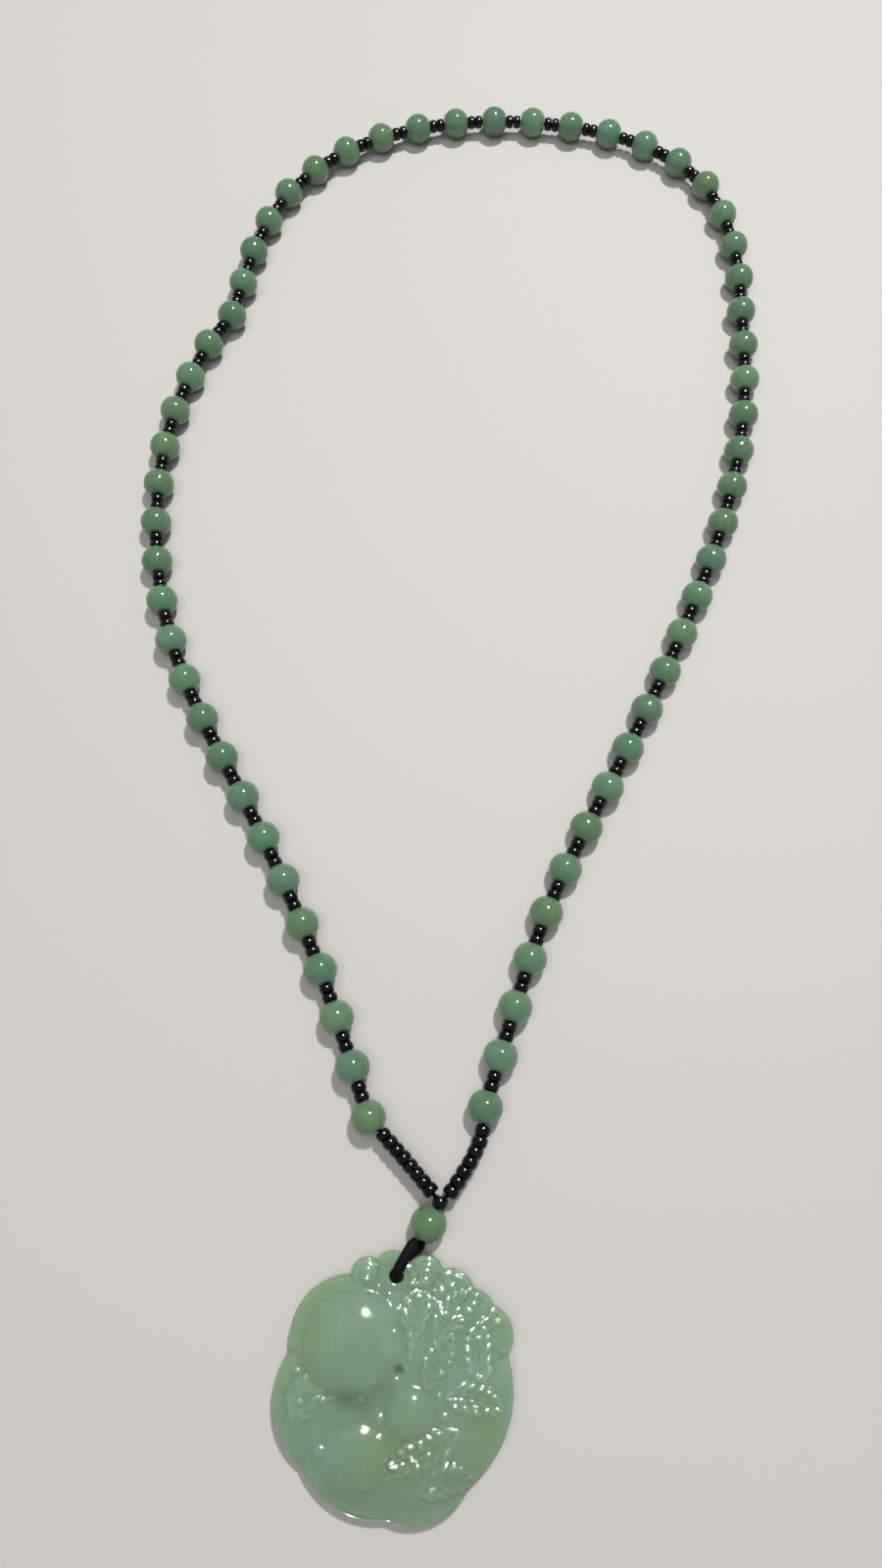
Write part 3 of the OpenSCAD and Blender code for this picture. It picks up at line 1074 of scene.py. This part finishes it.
class JADE_OT_jade_beads(bpy.types.Operator):
    """Adds the jade beads of every string and the single bead above the pendant"""

    bl_idname = "jade.jade_beads"
    bl_label = "Jade beads"

    # Darkest and lightest stone among the strung beads, and the single bead's
    shades = (0.88, 1.1)
    single_shade = 0.9

    def execute(self, context):
        sizes = context.scene.jade_sizes
        colours = context.scene.jade_colours
        stringing = Stringing(sizes)
        shape = jade_bead_shape(sizes)
        tones = (colours.bead_green, colours.bead_cool, colours.bead_warm)
        jade = polished_jade("polished_jade_beads", tones, cloud_size=10 * MM, translucence=0.8)
        draw = random.Random(61)
        for number, (first, last) in enumerate(STRINGS, start=1):
            bm = bmesh.new()
            shade = bm.verts.layers.float.new("shade")
            for i in range(first, last + 1):
                matrix = turned_to(stringing.bead_way(i), stringing.beads[i])
                turn = Matrix.Rotation(draw.uniform(0, FULL_TURN), 4, "Z")
                add_copy(bm, shape, matrix @ turn, shade, draw.uniform(*self.shades))
            finish_piece(
                f"jade_beads_{number}", bm, jade, "jade_bead", f"bead_string_{number}"
            )
        bm = bmesh.new()
        shade = bm.verts.layers.float.new("shade")
        matrix = turned_to(stringing.bail_way, stringing.bail)
        add_copy(bm, shape, matrix, shade, self.single_shade)
        finish_piece("single_bead", bm, jade, "jade_bead", "bail_bead")
        return {"FINISHED"}


class JADE_OT_seed_beads(bpy.types.Operator):
    """Adds the black seed beads: a pair between each two jade beads, and both legs of the V"""

    bl_idname = "jade.seed_beads"
    bl_label = "Seed beads"

    # Thinnest and thickest bead against the usual one, and how far a bead leans, in degrees
    widths = (0.96, 1.02)
    lean = 4

    def execute(self, context):
        sizes = context.scene.jade_sizes
        stringing = Stringing(sizes)
        glass = fire_polished_glass(context.scene.jade_colours.seed_black)
        shape = seed_bead_shape(sizes, stringing.seed_length)
        draw = random.Random(3)
        for number, (first, last) in enumerate(STRINGS, start=1):
            pairs = range(first, min(last, BEAD_COUNT - 2) + 1)
            seeds = [seed for i in pairs for seed in stringing.pair_after(i)]
            self.add_seeds(f"seed_pairs_{number}", glass, shape, seeds, 1, draw)
        left, long = stringing.leg_seeds(stringing.left_leg, LEFT_SEEDS)
        self.add_seeds("left_leg_seeds", glass, shape, left, long, draw, "left_seed_leg")
        right, long = stringing.leg_seeds(stringing.right_leg, RIGHT_SEEDS)
        right.append((stringing.shared_seed, stringing.bail_way))
        self.add_seeds("right_leg_seeds", glass, shape, right, long, draw, "right_seed_leg")
        return {"FINISHED"}

    def add_seeds(self, name, glass, shape, seeds, long, draw, *nodes):
        """Adds seed beads at their places as one piece, each a little different in size and lie.
        long is their length on the thread against the shape's."""
        bm = bmesh.new()
        for place, way in seeds:
            width = draw.uniform(*self.widths)
            size = Matrix.Diagonal((width, width, long, 1))
            lie = Matrix.Rotation(math.radians(draw.uniform(-self.lean, self.lean)), 4, "X")
            turn = Matrix.Rotation(draw.uniform(0, FULL_TURN), 4, "Z")
            add_copy(bm, shape, turned_to(way, place) @ turn @ lie @ size)
        finish_piece(name, bm, glass, "seed_glass", *nodes)


class JADE_OT_thread(bpy.types.Operator):
    """Adds the thread through every string of beads and both legs of the V"""

    bl_idname = "jade.thread"
    bl_label = "Thread"

    def execute(self, context):
        sizes = context.scene.jade_sizes
        stringing = Stringing(sizes)
        polyester = wound_polyester("twisted_black_thread", context.scene.jade_colours.cord_black)
        radius = sizes.thread_diameter / 2
        for number, (first, last) in enumerate(STRINGS, start=1):
            line = stringing.beads[first : min(last + 2, BEAD_COUNT)]
            self.add_thread(f"thread_{number}", polyester, line, radius)
        left = [place for place, way in stringing.leg_seeds(stringing.left_leg, LEFT_SEEDS)[0]]
        right = [place for place, way in stringing.leg_seeds(stringing.right_leg, RIGHT_SEEDS)[0]]
        join = stringing.shared_seed
        end = stringing.bail - stringing.bead_length / 2 * stringing.bail_way
        self.add_thread("left_leg_thread", polyester, [stringing.beads[0], *left, join], radius)
        self.add_thread(
            "right_leg_thread", polyester, [stringing.beads[-1], *right, join, end], radius
        )
        return {"FINISHED"}

    def add_thread(self, name, polyester, line, radius):
        """Adds a round thread along a level line as one piece."""
        up = Vector((0, 0, 1))

        def point_at(i, angle):
            way = (line[min(i + 1, len(line) - 1)] - line[max(i - 1, 0)]).normalized()
            side = way.cross(up)
            return line[i] + radius * (math.cos(angle) * side + math.sin(angle) * up)

        bm = bmesh.new()
        swept_tube(bm, line, THREAD_SIDES, point_at)
        finish_piece(name, bm, polyester, "cord")


class JADE_OT_bail_cord(bpy.types.Operator):
    """Adds the short loop of wrapped cord between the pendant and the single bead"""

    bl_idname = "jade.bail_cord"
    bl_label = "Bail cord"

    # Width of one turn of the winding, depth of the groove beside it, and the tapered ends
    winding = 0.36 * MM
    ridge = 0.035 * MM
    rings_to_a_turn = 5
    taper = 2 * MM

    def execute(self, context):
        radius = context.scene.jade_sizes.cord_diameter / 2
        route = smooth_route([Vector(p) * MM for p in CORD_ROUTE], ROUTE_STEPS)
        distance = distances(route)
        length = distance[-1]
        count = int(length / self.winding * self.rings_to_a_turn)
        line = [point_along(route, distance, length * i / count) for i in range(count + 1)]

        def point_at(i, angle):
            way = (line[min(i + 1, count)] - line[max(i - 1, 0)]).normalized()
            up = CORD_LEVEL.cross(way).normalized()
            side = way.cross(up)
            from_end = min(i, count - i) / count * length
            full = smooth_step(-self.taper, self.taper, from_end)
            wound = i / self.rings_to_a_turn * FULL_TURN - angle
            here = full * radius - self.ridge * (1 - abs(math.cos(wound / 2)))
            return line[i] + here * (math.cos(angle) * side + math.sin(angle) * up)

        bm = bmesh.new()
        swept_tube(bm, line, CORD_SIDES, point_at)
        polyester = wound_polyester("wound_black_cord", context.scene.jade_colours.cord_black)
        finish_piece("bail_cord_loop", bm, polyester, "cord", "bail_cord")
        return {"FINISHED"}


class JADE_PT_pieces(bpy.types.Panel):
    """Lists the pieces of the necklace"""

    bl_idname = "JADE_PT_pieces"
    bl_label = "Jade pendant"
    bl_space_type = "VIEW_3D"
    bl_region_type = "UI"
    bl_category = "Jade pendant"

    def draw(self, context):
        for group in (context.scene.jade_sizes, context.scene.jade_colours):
            column = self.layout.column(align=True)
            for name in group.__annotations__:
                column.prop(group, name)
        for operator in OPERATORS:
            self.layout.operator(operator.bl_idname)


GROUPS = (JADE_PG_sizes, JADE_PG_colours)
OPERATORS = (
    JADE_OT_stage,
    JADE_OT_bail_cord,
    JADE_OT_carved_disc,
    JADE_OT_jade_beads,
    JADE_OT_seed_beads,
    JADE_OT_thread,
)
CLASSES = (*GROUPS, *OPERATORS, JADE_PT_pieces)


def register():
    for cls in CLASSES:
        bpy.utils.register_class(cls)
    bpy.types.Scene.jade_sizes = bpy.props.PointerProperty(type=JADE_PG_sizes)
    bpy.types.Scene.jade_colours = bpy.props.PointerProperty(type=JADE_PG_colours)


def unregister():
    del bpy.types.Scene.jade_colours
    del bpy.types.Scene.jade_sizes
    for cls in reversed(CLASSES):
        bpy.utils.unregister_class(cls)


def main():
    register()
    bpy.ops.jade.stage()
    bpy.ops.jade.bail_cord()
    bpy.ops.jade.carved_disc()
    bpy.ops.jade.jade_beads()
    bpy.ops.jade.seed_beads()
    bpy.ops.jade.thread()


if __name__ == "__main__":
    main()
